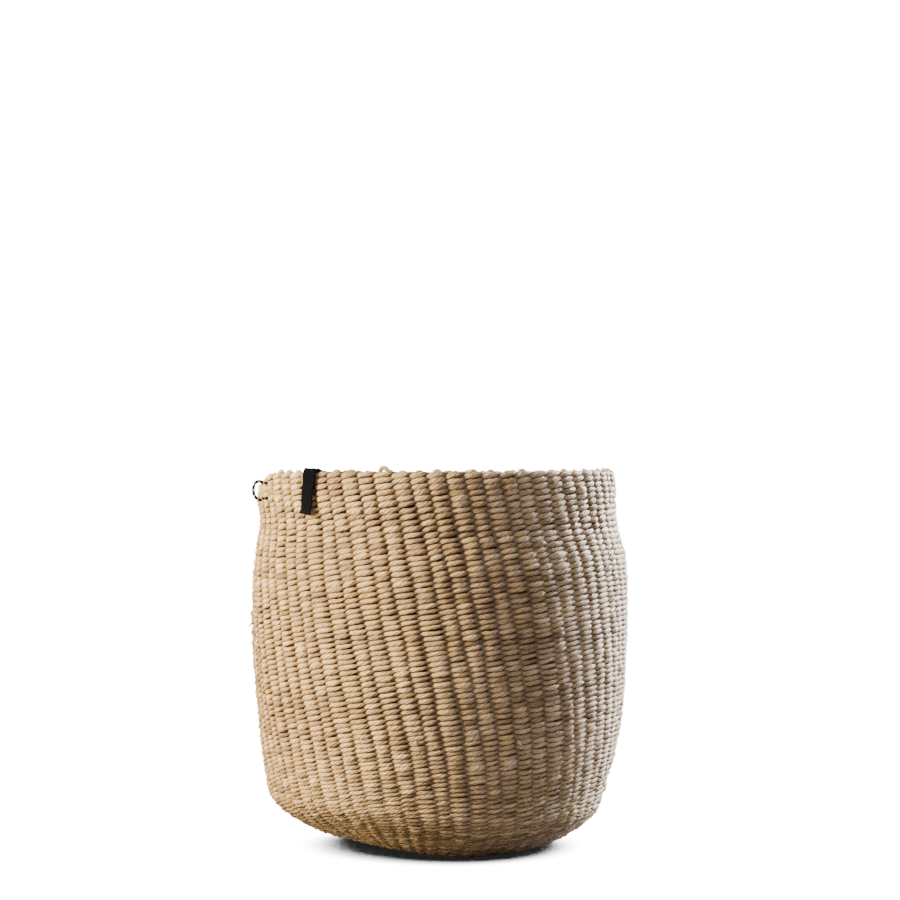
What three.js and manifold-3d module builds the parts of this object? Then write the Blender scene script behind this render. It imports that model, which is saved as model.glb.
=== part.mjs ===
// Kiondo basket: a round basket twined from paper cord round 64 upright legs of 32 folded stakes.
// Millimetres, +Z up. The origin is the middle of the base on the floor, the front is -Y, right is +X.

import * as THREE from 'three';
import { mergeVertices } from 'three/addons/utils/BufferGeometryUtils.js';
import Module from 'manifold-3d';

const wasm = await Module();
wasm.setup();

// Outside shape of the weave
const bellyRadius = 150;
const bellyHeight = 188;
const wallBow = 7e-4; // what the radius loses per square millimetre away from the belly
const neckDepth = 4; // the wall is drawn in a little under the rim
const neckHeight = 258;
const neckSpan = 21;
const weaveTop = 298;
const heelTop = 36; // height where the heel turns into the wall
const flatRadius = 76; // flat middle of the base
const heelReach = 22; // how far the heel stays level past the flat
const heelRise = 16; // how far the heel follows the wall's slope at its top

// How the finished basket stands: rim low at the left and a little low at the back, left front edge off the floor
const rimDip = 12;
const rimDipWidth = THREE.MathUtils.degToRad(17);
const rimDipFrom = 250;
const rimBack = 2.5; // what the rim is lower at the back
const rimBackReach = 110;
const lipLift = 12;
const lipLiftTowards = THREE.MathUtils.degToRad(210);
const lipLiftFrom = 18;
const lipLiftTo = 105;
const lipLiftFades = 110;
const footSway = 5.5; // the foot sits this far to the left of the belly
const footSwayTop = 110;
const neckSway = 2.6; // and so does the neck
const neckSwayFrom = 220;

// The wall is a sandwich: an outer and an inner face of weft, with the stakes between them
const skinThickness = 2.9;
const wallThickness = 11;
const stakeDepth = wallThickness / 2;
const meetingGap = 0.3;

// Stakes
const stakeWidth = 3.4;
const columnCount = 64;
const columnAngle = (2 * Math.PI) / columnCount;
const columnStart = THREE.MathUtils.degToRad(0.475);
const columnLean = THREE.MathUtils.degToRad(22); // turn of a column from the rim down to the heel
const leanFrom = 130; // along the profile, where the columns begin to turn
const stageRadius = [0, 20, 40, 68]; // where the second, third and fourth sets of stakes are added
const stakeSets = ['centre_stake', 'first_added_stake', 'second_added_stake', 'third_added_stake'];
const centrePairs = [[0, 3], [7, 4], [1, 6], [2, 5]]; // the eight centre legs that one stake joins
const crossingReach = 9.3;
const crossingHalf = 6.2;
const crossingThin = 0.56; // share of its thickness that a stake keeps where two cross
const crossingLayer = 1.1;

// Rim: each leg is folded back beside itself as a hairpin
const hairpinHalf = 2.2;
const hairpinTail = 22;
const tallColumn = 45;
const tallRise = 2.1;
const labelColumns = [40, 41]; // under the label
const labelColumnRise = -2.4;

// Label, a folded tape
const labelAngle = THREE.MathUtils.degToRad(226);
const labelWidth = 13;
const tapeThickness = 0.8;
const labelOutside = 33.4;
const labelInside = 32;
const labelFold = 2.2; // the tape's middle over the rim
const labelSlant = 3.6; // its top leans this far to the right of its stitches
const tapeStandOff = 0.35;
const stitchThread = 0.9;
const stitchLength = 2;
const stitchDrop = 31; // below the rim
const stitchSides = [-4.3, -0.5];

// Twine loop on the left of the rim
const twineThickness = 1.8;
const twineGap = 35.5; // it comes out between these columns, counted from the right
const twineHoles = [7, 20]; // below the rim
const twineHole = 2.6;
const twineStandOff = 1.5;
const twineSwing = THREE.MathUtils.degToRad(15); // the loop hangs turned this far to the front
// The loop's route from hole to hole in its own plane: out from the wall, and up from their middle
const twineRoute = [
  [2.2, 7],
  [5.2, 7.3],
  [8.2, 5.7],
  [9.8, 2.1],
  [9.3, -2.2],
  [6.8, -5.5],
  [3.4, -6.9],
];
const knotRadius = 2.5;
const knotHeight = 3.2;
const knotInset = 4.2;

// Along the profile, from the middle of the base
const facets = 44;
const stations = [18, 32, 47, 62, 76, 94, 108, 122, 136, 150, 200, 250, 300, 345, 372, 386];
const baseEdge = 94;
const heelMiddle = 122;
const heelEdge = 150;
const wallMiddle = 268;
const bandStart = 386; // the band under the rim, where the legs lie doubled

const { smoothstep } = THREE.MathUtils;

// The outside profile, from the middle of the base outwards and up

function wallRadius(z) {
  const neck = neckDepth * Math.exp(-(((z - neckHeight) / neckSpan) ** 2));
  return bellyRadius - wallBow * (z - bellyHeight) ** 2 - neck;
}

function outsideProfile() {
  const slope = 2 * wallBow * (bellyHeight - heelTop);
  const heelEnd = new THREE.Vector2(wallRadius(heelTop), heelTop);
  const wallPoints = [];
  const steps = 24;
  for (let i = 0; i <= steps; i++) {
    const z = heelTop + ((weaveTop - heelTop) * i) / steps;
    wallPoints.push(new THREE.Vector2(wallRadius(z), z));
  }
  const profile = new THREE.CurvePath();
  profile.add(new THREE.LineCurve(new THREE.Vector2(0, 0), new THREE.Vector2(flatRadius, 0)));
  profile.add(new THREE.CubicBezierCurve(
    new THREE.Vector2(flatRadius, 0),
    new THREE.Vector2(flatRadius + heelReach, 0),
    new THREE.Vector2(heelEnd.x - slope * heelRise, heelTop - heelRise),
    heelEnd,
  ));
  profile.add(new THREE.SplineCurve(wallPoints));
  return profile;
}

const profile = outsideProfile();
const rimAt = profile.getLength();

// How far the columns have turned from where they meet the rim
function leanAt(along) {
  return columnLean * (1 - Math.max(along - leanFrom, 0) / (rimAt - leanFrom));
}

const twineLean = leanAt(rimAt - (twineHoles[0] + twineHoles[1]) / 2);
const twineAngle = columnStart + twineGap * columnAngle + twineLean;

// The point of the profile a given way along it and a given depth in from the outside.
// Past the rim it runs straight on.
function section(along, depth) {
  const u = Math.min(along, rimAt) / rimAt;
  const point = profile.getPoint(u);
  const tangent = profile.getTangent(u);
  point.addScaledVector(tangent, Math.max(along - rimAt, 0));
  return new THREE.Vector2(point.x - depth * tangent.y, point.y + depth * tangent.x);
}

// Moves a point of the true round basket to where it stands in the used one
function settle(point) {
  const fromLeft = Math.PI - Math.abs(Math.atan2(point.y, point.x));
  const dip = rimDip * Math.exp(-((fromLeft / rimDipWidth) ** 2)) * smoothstep(point.z, rimDipFrom, weaveTop);
  const back = rimBack * smoothstep(point.y, 0, rimBackReach) * smoothstep(point.z, rimDipFrom, weaveTop);
  const towards = point.x * Math.cos(lipLiftTowards) + point.y * Math.sin(lipLiftTowards);
  const lift = lipLift * smoothstep(towards, lipLiftFrom, lipLiftTo) * (1 - smoothstep(point.z, 0, lipLiftFades));
  const foot = footSway * (1 - smoothstep(point.z, 0, footSwayTop));
  const neck = neckSway * smoothstep(point.z, neckSwayFrom, weaveTop);
  return new THREE.Vector3(point.x - foot - neck, point.y, point.z - dip - back + lift);
}

// A place in the wall: along the profile, round the basket, in from the outside, and sideways
function place(along, angle, depth, side = 0) {
  const at = section(along, depth);
  const x = at.x * Math.cos(angle) - side * Math.sin(angle);
  const y = at.x * Math.sin(angle) + side * Math.cos(angle);
  return settle(new THREE.Vector3(x, y, at.y));
}

// Direction out of the wall at a place
function outOf(along, angle) {
  return place(along, angle, 0).sub(place(along, angle, 1)).normalize();
}

// A closed solid from corners carried along a route, ring by ring
function strand(rings, corners) {
  const count = corners.length;
  const positions = [];
  rings.forEach((ring, i) => {
    const before = rings[Math.max(i - 1, 0)].at;
    const after = rings[Math.min(i + 1, rings.length - 1)].at;
    const tangent = after.clone().sub(before).normalize();
    const across = tangent.clone().cross(ring.out).normalize();
    const out = across.clone().cross(tangent);
    for (const [outward, sideways] of corners) {
      const corner = ring.at.clone();
      corner.addScaledVector(out, outward * (ring.thin ?? 1));
      corner.addScaledVector(across, sideways);
      positions.push(corner.x, corner.y, corner.z);
    }
  });
  const faces = [];
  for (let i = 0; i < rings.length - 1; i++) {
    for (let j = 0; j < count; j++) {
      const a = i * count + j;
      const b = i * count + ((j + 1) % count);
      faces.push(a, b, b + count, a, b + count, a + count);
    }
  }
  const last = (rings.length - 1) * count;
  for (let j = 1; j < count - 1; j++) {
    faces.push(0, j + 1, j);
    faces.push(last, last + j, last + j + 1);
  }
  const geometry = new THREE.BufferGeometry();
  geometry.setAttribute('position', new THREE.Float32BufferAttribute(positions, 3));
  geometry.setIndex(faces);
  geometry.computeVertexNormals();
  return geometry;
}

function rectangle(thickness, width) {
  const t = thickness / 2;
  const w = width / 2;
  return [[t, w], [-t, w], [-t, -w], [t, -w]];
}

// A round cord along a smooth curve through points
function cord(points, thickness, steps) {
  const section = new THREE.Shape();
  const sides = 8;
  for (let i = 0; i < sides; i++) {
    const turn = (2 * Math.PI * i) / sides;
    const x = (thickness / 2) * Math.cos(turn);
    const y = (thickness / 2) * Math.sin(turn);
    if (i === 0) section.moveTo(x, y);
    else section.lineTo(x, y);
  }
  section.closePath();
  const extrudePath = new THREE.CatmullRomCurve3(points, false, 'centripetal');
  return new THREE.ExtrudeGeometry(section, { steps, bevelEnabled: false, extrudePath });
}

function solidOf(geometry) {
  const bare = geometry.clone();
  bare.deleteAttribute('normal');
  bare.deleteAttribute('uv');
  const merged = mergeVertices(bare, 1e-4);
  return new wasm.Manifold(new wasm.Mesh({
    numProp: 3,
    vertProperties: Float32Array.from(merged.attributes.position.array),
    triVerts: Uint32Array.from(merged.index.array),
  }));
}

function geometryOf(solid) {
  const { vertProperties, triVerts } = solid.getMesh();
  const geometry = new THREE.BufferGeometry();
  geometry.setAttribute('position', new THREE.BufferAttribute(Float32Array.from(vertProperties), 3));
  geometry.setIndex(new THREE.BufferAttribute(Uint32Array.from(triVerts), 1));
  geometry.computeVertexNormals();
  return geometry;
}

function cutBy(geometry, cutters) {
  let solid = solidOf(geometry);
  for (const cutter of cutters) solid = solid.subtract(solidOf(cutter));
  return geometryOf(solid);
}

// Weft

const weftMaterial = new THREE.MeshStandardMaterial({ color: 0xb2936f, roughness: 0.72, metalness: 0 });
const stakeMaterial = new THREE.MeshStandardMaterial({ color: 0xa5865f, roughness: 0.75, metalness: 0 });
const tapeMaterial = new THREE.MeshStandardMaterial({ color: 0x1d1d21, roughness: 0.85, metalness: 0 });
const threadMaterial = new THREE.MeshStandardMaterial({ color: 0x141416, roughness: 0.7, metalness: 0 });
const twineMaterial = new THREE.MeshStandardMaterial({ color: 0xcfcbc4, roughness: 0.8, metalness: 0 });

const basket = new THREE.Group();

function addPart(name, geometry, material) {
  const mesh = new THREE.Mesh(geometry, material.clone());
  mesh.name = name;
  basket.add(mesh);
}

// One face of the weave between two places along the profile, as a ring or, from the middle, a dish
function skin(from, to, outer, inner) {
  const along = [from, ...stations.filter((station) => station > from && station < to), to];
  const outline = along.map((station) => section(station, outer));
  outline.push(...along.map((station) => section(station, inner)).reverse());
  if (from > 0) outline.push(outline[0].clone());
  const lathe = new THREE.LatheGeometry(outline, facets);
  lathe.rotateX(Math.PI / 2);
  const position = lathe.attributes.position;
  for (let i = 0; i < position.count; i++) {
    const moved = settle(new THREE.Vector3().fromBufferAttribute(position, i));
    position.setXYZ(i, moved.x, moved.y, moved.z);
  }
  return lathe;
}

// Radial tunnels through the wall, for the label's thread and for the twine

function slotAt(along, side) {
  const middle = place(along, labelAngle, wallThickness / 2, side);
  const width = stitchLength + stitchThread;
  const slot = new THREE.BoxGeometry(2 * wallThickness, width, stitchThread + 2 * meetingGap);
  slot.rotateZ(labelAngle);
  slot.translate(middle.x, middle.y, middle.z);
  return slot;
}

function holeMiddle(below) {
  return place(rimAt - below, twineAngle, wallThickness / 2);
}

function holeAt(below) {
  const middle = holeMiddle(below);
  const hole = new THREE.CylinderGeometry(twineHole / 2, twineHole / 2, 2 * wallThickness, 8);
  hole.rotateZ(Math.PI / 2);
  hole.rotateZ(twineAngle);
  hole.translate(middle.x, middle.y, middle.z);
  return hole;
}

function addWeft() {
  const slots = stitchSides.map((side) => slotAt(rimAt - stitchDrop, side));
  const holes = twineHoles.map(holeAt);
  const faces = [
    ['outer', 0, skinThickness],
    ['inner', wallThickness - skinThickness, wallThickness],
  ];
  for (const [face, near, far] of faces) {
    const base = skin(0, baseEdge, near, far);
    const lowerHeel = skin(baseEdge + meetingGap, heelMiddle, near, far);
    const upperHeel = skin(heelMiddle + meetingGap, heelEdge, near, far);
    const lowerWall = skin(heelEdge + meetingGap, wallMiddle, near, far);
    const upperWall = skin(wallMiddle + meetingGap, bandStart, near, far);
    const rim = skin(bandStart + meetingGap, rimAt, near, far);
    addPart(`base_weft_${face}`, base, weftMaterial);
    addPart(`lower_heel_weft_${face}`, lowerHeel, weftMaterial);
    addPart(`upper_heel_weft_${face}`, upperHeel, weftMaterial);
    addPart(`lower_wall_weft_${face}`, lowerWall, weftMaterial);
    addPart(`upper_wall_weft_${face}`, cutBy(upperWall, slots), weftMaterial);
    addPart(`rim_weft_${face}`, cutBy(rim, holes), weftMaterial);
  }
}

// Stakes. Stage 0 has the 8 legs of the centre, and each later stage doubles them: 16, 32, 64.

const lastStage = stageRadius.length - 1;

function legAngle(stage, index) {
  const share = 2 ** (lastStage - stage);
  return ((share - 1) / 2 + share * index) * columnAngle;
}

// The same leg's number in the next stage: pairs part to let two new legs in between them
function nextIndex(index) {
  return 4 * Math.floor(index / 2) + (index % 2 ? 3 : 0);
}

// Where a hairpin's legs end, above or below the last row
function hairpinRise(column) {
  if (column === tallColumn) return tallRise;
  if (labelColumns.includes(column)) return labelColumnRise;
  return 0.8 * Math.sin(2.4 * column) - 1.1;
}

// One leg, from its stage's fold out to the tail of its hairpin
function legRings(stage, index) {
  const rings = [];
  const ring = (along, angle, side = 0, more = {}) => {
    const turned = angle + leanAt(along) + columnStart;
    const at = place(along, turned, more.depth ?? stakeDepth, side);
    rings.push({ at, out: outOf(along, turned), thin: more.thin });
  };
  let angle = legAngle(stage, index);
  let number = index;
  if (stage > 0) {
    const half = stageRadius[stage] * Math.sin(columnAngle * 2 ** (lastStage - stage) / 2);
    const inwards = index % 4 === 1 ? 1 : -1;
    ring(stageRadius[stage], angle, 0.25 * half * inwards);
    ring(stageRadius[stage] + 4, angle);
  }
  for (let next = stage + 1; next <= lastStage; next++) {
    ring(stageRadius[next] - 4, angle);
    number = nextIndex(number);
    angle = legAngle(next, number);
    ring(stageRadius[next] + 8, angle);
  }
  for (const along of stations.filter((station) => station > flatRadius && station < bandStart)) {
    ring(along, angle);
  }
  const top = rimAt + hairpinRise(number);
  ring(bandStart, angle, -hairpinHalf);
  ring(top, angle, -hairpinHalf);
  ring(top + 0.9 * hairpinHalf, angle, -0.5 * hairpinHalf);
  ring(top + 0.9 * hairpinHalf, angle, 0.5 * hairpinHalf);
  ring(top, angle, hairpinHalf);
  ring(rimAt - hairpinTail, angle, hairpinHalf);
  return rings;
}

// The turn of an added stake round its own fold
function foldRing(stage, index) {
  const middle = (legAngle(stage, index) + legAngle(stage, index + 1)) / 2 + leanAt(0) + columnStart;
  const along = stageRadius[stage] - 2.6;
  return { at: place(along, middle, stakeDepth), out: outOf(along, middle) };
}

// The straight run of a centre stake over or under the two that cross it
function crossingRings(from, to, over) {
  const rings = [];
  const depth = stakeDepth + (over ? crossingLayer : -crossingLayer);
  const start = legAngle(0, from) + leanAt(0) + columnStart;
  const end = legAngle(0, to) + leanAt(0) + columnStart;
  const runEnds = [start, end].map((angle) => new THREE.Vector2(Math.cos(angle), Math.sin(angle)));
  const steps = [0, (crossingReach - crossingHalf) / (2 * crossingReach)];
  steps.push(1 - steps[1], 1);
  const a = runEnds[0].clone().multiplyScalar(crossingReach);
  const b = runEnds[1].clone().multiplyScalar(crossingReach);
  for (const t of steps) {
    const at = a.clone().lerp(b, t);
    const crossing = t > 0 && t < 1;
    const height = crossing ? depth : stakeDepth;
    rings.push({
      at: settle(new THREE.Vector3(at.x, at.y, height)),
      out: new THREE.Vector3(0, 0, -1),
      thin: crossing ? crossingThin : 1,
    });
  }
  return rings;
}

function addStakes() {
  const corners = rectangle(stakeWidth, stakeWidth);
  centrePairs.forEach(([from, to], i) => {
    const rings = [...legRings(0, from).reverse(), ...crossingRings(from, to, i < 2), ...legRings(0, to)];
    addPart(`${stakeSets[0]}_${i + 1}`, strand(rings, corners), stakeMaterial);
  });
  for (let stage = 1; stage <= lastStage; stage++) {
    const folds = 2 * 2 ** stage;
    for (let i = 0; i < folds; i++) {
      const first = 4 * i + 1;
      const rings = [...legRings(stage, first).reverse(), foldRing(stage, first), ...legRings(stage, first + 1)];
      addPart(`${stakeSets[stage]}_${i + 1}`, strand(rings, corners), stakeMaterial);
    }
  }
}

// Label: a tape folded over the rim, held by two stitches through the wall

function addLabel() {
  const near = -tapeStandOff - tapeThickness / 2;
  const far = wallThickness + tapeStandOff + tapeThickness / 2 + meetingGap;
  const route = [
    [rimAt - labelOutside, near],
    [rimAt - stitchDrop, near],
    [bandStart, near],
    [rimAt + 0.4 * labelFold, near],
    [rimAt + 0.8 * labelFold, near + 0.55],
    [rimAt + labelFold, near + 2],
    [rimAt + labelFold, far - 2],
    [rimAt + 0.8 * labelFold, far - 0.55],
    [rimAt + 0.4 * labelFold, far],
    [bandStart, far],
    [rimAt - stitchDrop, far],
    [rimAt - labelInside, far],
  ];
  const angles = route.map(([along, depth]) => {
    const share = THREE.MathUtils.clamp((along - rimAt + stitchDrop) / stitchDrop, 0, 1);
    return labelAngle + (labelSlant * share) / section(along, depth).x;
  });
  const points = route.map(([along, depth], i) => place(along, angles[i], depth));
  const rings = points.map((at, i) => {
    const before = points[Math.max(i - 1, 0)];
    const after = points[Math.min(i + 1, points.length - 1)];
    const tangent = after.clone().sub(before).normalize();
    const across = new THREE.Vector3(-Math.sin(angles[i]), Math.cos(angles[i]), 0);
    return { at, out: across.cross(tangent).normalize() };
  });
  const slots = stitchSides.map((side) => slotAt(rimAt - stitchDrop, side));
  addPart('label', cutBy(strand(rings, rectangle(tapeThickness, labelWidth)), slots), tapeMaterial);
  stitchSides.forEach((side, i) => addPart(`label_stitch_${i + 1}`, stitch(side), threadMaterial));
}

// A ring of thread round the tape and the wall, closed by a small butt at the inside
function stitch(side) {
  const along = rimAt - stitchDrop;
  const outside = -(tapeStandOff + tapeThickness + meetingGap + stitchThread / 2);
  const inside = wallThickness + tapeStandOff + tapeThickness + 2 * meetingGap + stitchThread / 2;
  const half = stitchLength / 2;
  const level = place(along, labelAngle, wallThickness / 2, side).z;
  const route = [
    [inside, -0.2 * half],
    [inside, -half],
    [outside, -half],
    [outside, half],
    [inside, half],
    [inside, 0.2 * half],
  ];
  const rings = route.map(([depth, offset]) => {
    const at = place(along, labelAngle, depth, side + offset);
    at.z = level;
    return { at, out: new THREE.Vector3(0, 0, 1) };
  });
  return strand(rings, rectangle(stitchThread, 0.7 * stitchThread));
}

// Twine: a loop outside, two runs through the wall, and the knot that joins them inside

function addTwine() {
  const radial = new THREE.Vector3(Math.cos(twineAngle), Math.sin(twineAngle), 0);
  const [upper, lower] = twineHoles.map((below) => holeMiddle(below).z);
  const axis = place(rimAt - twineHoles[1], twineAngle, 0).addScaledVector(radial, twineStandOff);
  const middle = axis.clone().setZ((upper + lower) / 2);
  const outwards = new THREE.Vector3(Math.cos(twineAngle + twineSwing), Math.sin(twineAngle + twineSwing), 0);
  const points = [
    axis.clone().setZ(upper),
    ...twineRoute.map(([out, up]) => middle.clone().addScaledVector(outwards, out).setZ(middle.z + up)),
    axis.clone().setZ(lower),
  ];
  addPart('twine_loop', cord(points, twineThickness, 12), twineMaterial);

  const backTo = (distance, z) => axis.clone().addScaledVector(radial, -distance).setZ(z);
  const wallInside = twineStandOff + wallThickness + 0.6;
  const knotAt = backTo(wallInside + knotInset, middle.z);
  const runEnd = twineThickness / 2 + meetingGap;
  const ends = [
    ['twine_upper_run', upper, 1],
    ['twine_lower_run', lower, -1],
  ];
  for (const [name, z, up] of ends) {
    const toKnot = knotAt.z + up * (knotHeight + meetingGap);
    const run = [
      backTo(runEnd, z),
      backTo(0.5 * wallInside, z),
      backTo(wallInside, z),
      backTo(wallInside + 0.75 * knotInset, 0.75 * z + 0.25 * toKnot),
      backTo(wallInside + knotInset, toKnot),
    ];
    addPart(name, cord(run, twineThickness, 10), twineMaterial);
  }

  const knot = new THREE.SphereGeometry(1, 10, 7);
  knot.scale(knotRadius, knotRadius, knotHeight);
  knot.translate(knotAt.x, knotAt.y, knotAt.z);
  let solid = solidOf(knot);
  const across = new THREE.Vector3(-radial.y, radial.x, 0);
  for (const way of [-1, 1]) {
    const tail = [0, 1, 2, 3].map((step) => {
      const at = knotAt.clone().addScaledVector(across, way * (0.8 + 1.5 * step));
      return at.addScaledVector(radial, 0.3 * step).setZ(knotAt.z - 4.2 * step);
    });
    solid = solid.add(solidOf(cord(tail, twineThickness, 5)));
  }
  addPart('twine_knot', geometryOf(solid), twineMaterial);
}

addWeft();
addStakes();
addLabel();
addTwine();

export default basket;
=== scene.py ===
# Kiondo basket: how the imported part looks. Metres, +Z up, the front faces -Y and right is +X.
import bpy
import numpy as np
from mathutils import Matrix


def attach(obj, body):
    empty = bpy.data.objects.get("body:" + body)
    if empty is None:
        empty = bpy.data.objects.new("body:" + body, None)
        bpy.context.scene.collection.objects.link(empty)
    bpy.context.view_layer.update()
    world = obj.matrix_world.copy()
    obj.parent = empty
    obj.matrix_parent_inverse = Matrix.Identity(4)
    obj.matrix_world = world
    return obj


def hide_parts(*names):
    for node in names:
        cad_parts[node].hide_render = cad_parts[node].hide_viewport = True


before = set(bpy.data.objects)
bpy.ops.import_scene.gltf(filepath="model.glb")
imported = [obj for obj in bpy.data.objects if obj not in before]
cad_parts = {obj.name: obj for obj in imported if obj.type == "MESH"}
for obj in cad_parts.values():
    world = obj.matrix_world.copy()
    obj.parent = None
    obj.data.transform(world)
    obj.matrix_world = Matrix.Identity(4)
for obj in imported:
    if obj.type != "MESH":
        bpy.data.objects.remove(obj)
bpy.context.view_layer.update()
print("frame loaded")

# Camera: level with the rim, straight in front, so that the basket stands low in a square picture
photoView = {"eye": (0.00794, -2.2, 0.314), "lens": 110.84, "sensor": 36.0}


def placeCamera(settings):
    data = bpy.data.cameras.new("photoCamera")
    data.lens = settings["lens"]
    data.sensor_width = settings["sensor"]
    camera = bpy.data.objects.new("photoCamera", data)
    camera.location = settings["eye"]
    camera.rotation_euler = (np.pi / 2, 0.0, 0.0)
    bpy.context.collection.objects.link(camera)
    bpy.context.scene.camera = camera


placeCamera(photoView)
print("camera placed")


# The basket's form, as in the solids
form = {
    "bellyRadius": 0.150, "bellyHeight": 0.188, "wallBow": 0.7,
    "neckDepth": 0.004, "neckHeight": 0.258, "neckSpan": 0.021,
    "weaveTop": 0.298, "heelTop": 0.036, "flatRadius": 0.076, "heelReach": 0.022, "heelRise": 0.016,
    "levelPoints": 60, "heelPoints": 400, "wallPoints": 500,
    "rimDip": 0.012, "rimDipWidth": np.radians(17), "rimDipFrom": 0.250,
    "rimBack": 0.0025, "rimBackReach": 0.110,
    "lipLift": 0.012, "lipLiftTowards": np.radians(210), "lipLiftFrom": 0.018, "lipLiftTo": 0.105,
    "lipLiftFades": 0.110,
    "footSway": 0.0055, "footSwayTop": 0.110, "neckSway": 0.0026, "neckSwayFrom": 0.220,
    "columns": 64, "columnStart": np.radians(0.475), "columnLean": np.radians(22), "leanFrom": 0.130,
    "wallThickness": 0.011, "stakeDepth": 0.0055,
    "rimBand": 0.386,  # the arc length from which the legs are doubled by their hairpins
}
columnAngle = 2 * np.pi / form["columns"]
millimetre = 0.001
centimetresInMetre = 100
upright = np.array([0.0, 0.0, 1.0])


def smoothStep(value, low, high):
    # 3 t squared less 2 t cubed, where t goes from 0 at low to 1 at high
    t = np.clip((value - low) / (high - low), 0.0, 1.0)
    return t * t * (3 - 2 * t)


def mix(first, second, share):
    # first + (second - first) * share
    return first + (second - first) * share


def unit(vectors):
    # each vector over its length
    return vectors / np.linalg.norm(vectors, axis=-1, keepdims=True)


def lengthsAlong(points):
    # the path's length from its start to each of its points
    return np.concatenate([[0.0], np.cumsum(np.linalg.norm(np.diff(points, axis=0), axis=1))])


def wallRadius(z):
    # the belly's radius, less bow * (distance from the belly) squared, less the neck's dip,
    # depth * exp(-(distance / span) squared)
    neck = form["neckDepth"] * np.exp(-(((z - form["neckHeight"]) / form["neckSpan"]) ** 2))
    return form["bellyRadius"] - form["wallBow"] * (z - form["bellyHeight"]) ** 2 - neck


def outsideProfile():
    # radius and height along a level line, the heel and the bowed wall, with the arc length at each place.
    # The heel is a cubic Bezier curve: (1-t)^3 a + 3t(1-t)^2 b + 3t^2(1-t) c + t^3 d
    slope = 2 * form["wallBow"] * (form["bellyHeight"] - form["heelTop"])
    top = form["heelTop"]
    a, b, c, d = np.array([
        (form["flatRadius"], 0.0),
        (form["flatRadius"] + form["heelReach"], 0.0),
        (wallRadius(top) - slope * form["heelRise"], top - form["heelRise"]),
        (wallRadius(top), top),
    ])
    t = np.linspace(0, 1, form["heelPoints"])[:, None]
    heel = (1 - t) ** 3 * a + 3 * t * (1 - t) ** 2 * b + 3 * t * t * (1 - t) * c + t ** 3 * d
    level = np.linspace([0.0, 0.0], [form["flatRadius"], 0.0], form["levelPoints"])
    heights = np.linspace(top, form["weaveTop"], form["wallPoints"])
    wall = np.stack([wallRadius(heights), heights], axis=1)
    points = np.concatenate([level[:-1], heel[:-1], wall])
    along = lengthsAlong(points)
    return along, points, unit(np.gradient(points, along, axis=0))


profileAlong, profilePoints, profileTangent = outsideProfile()
rimAt = profileAlong[-1]


def section(along, depth):
    # the profile's point at an arc length, moved in by a depth square to it, and straight on past the rim
    over = np.maximum(along - rimAt, 0.0)
    radius, height = (np.interp(along, profileAlong, profilePoints[:, i]) for i in (0, 1))
    outwards, upwards = (np.interp(along, profileAlong, profileTangent[:, i]) for i in (0, 1))
    return radius + over * outwards - depth * upwards, height + over * upwards + depth * outwards


def settle(x, y, z):
    # the used basket's stance: rim low at the left and a little low at the back, front left edge off the
    # floor, foot and neck to the left
    fromLeft = np.pi - np.abs(np.arctan2(y, x))
    dip = form["rimDip"] * np.exp(-((fromLeft / form["rimDipWidth"]) ** 2))
    dip = dip + form["rimBack"] * smoothStep(y, 0.0, form["rimBackReach"])
    dip = dip * smoothStep(z, form["rimDipFrom"], form["weaveTop"])
    towards = x * np.cos(form["lipLiftTowards"]) + y * np.sin(form["lipLiftTowards"])
    lift = form["lipLift"] * smoothStep(towards, form["lipLiftFrom"], form["lipLiftTo"])
    lift = lift * (1 - smoothStep(z, 0.0, form["lipLiftFades"]))
    foot = form["footSway"] * (1 - smoothStep(z, 0.0, form["footSwayTop"]))
    neck = form["neckSway"] * smoothStep(z, form["neckSwayFrom"], form["weaveTop"])
    return np.stack([x - foot - neck, y, z - dip + lift], axis=-1)


def standAt(along, angle, depth, side=0.0):
    # polar place of the profile's point, with a step sideways, then settled
    radius, height = section(along, depth)
    x = radius * np.cos(angle) - side * np.sin(angle)
    y = radius * np.sin(angle) + side * np.cos(angle)
    return settle(x, y, height)


def leanAt(along):
    # a column's turn, from all of it at the heel to none at the rim
    return form["columnLean"] * (1 - np.maximum(along - form["leanFrom"], 0.0) / (rimAt - form["leanFrom"]))


# Columns are never quite even. A wave has its size in degrees, its count round the basket, its drift on the
# way up and its start. The waves begin in the base and calm down near the rim.
wander = {
    "waves": ((0.34, 23, 4.1, 0), (0.26, 31, -5.3, 2), (0.30, 13, 2.7, 1)), "driftLength": 0.1,
    "beginsAt": 0.03, "fullAt": 0.08, "calmsFrom": 0.37, "calmAt": 0.40, "calmShare": 0.6,
}


def wanderAt(angle, along):
    # the sum of size * sin(count * angle + drift * along / length + start)
    way = along / wander["driftLength"]
    waves = sum(size * np.sin(count * angle + drift * way + start)
                for size, count, drift, start in wander["waves"])
    fade = 1 - wander["calmShare"] * smoothStep(along, wander["calmsFrom"], wander["calmAt"])
    return np.radians(waves) * fade * smoothStep(along, wander["beginsAt"], wander["fullAt"])


def placeInWall(along, angle, depth, side=0.0):
    # a place in the weave, where the columns wander
    along, angle, depth, side = np.broadcast_arrays(along, angle, depth, side)
    return standAt(along, angle + wanderAt(angle, along), depth, side)


def outOf(along, angle):
    # from a millimetre inside the face to the face
    return unit(placeInWall(along, angle, 0.0) - placeInWall(along, angle, millimetre))


# Meshes from arrays


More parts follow.
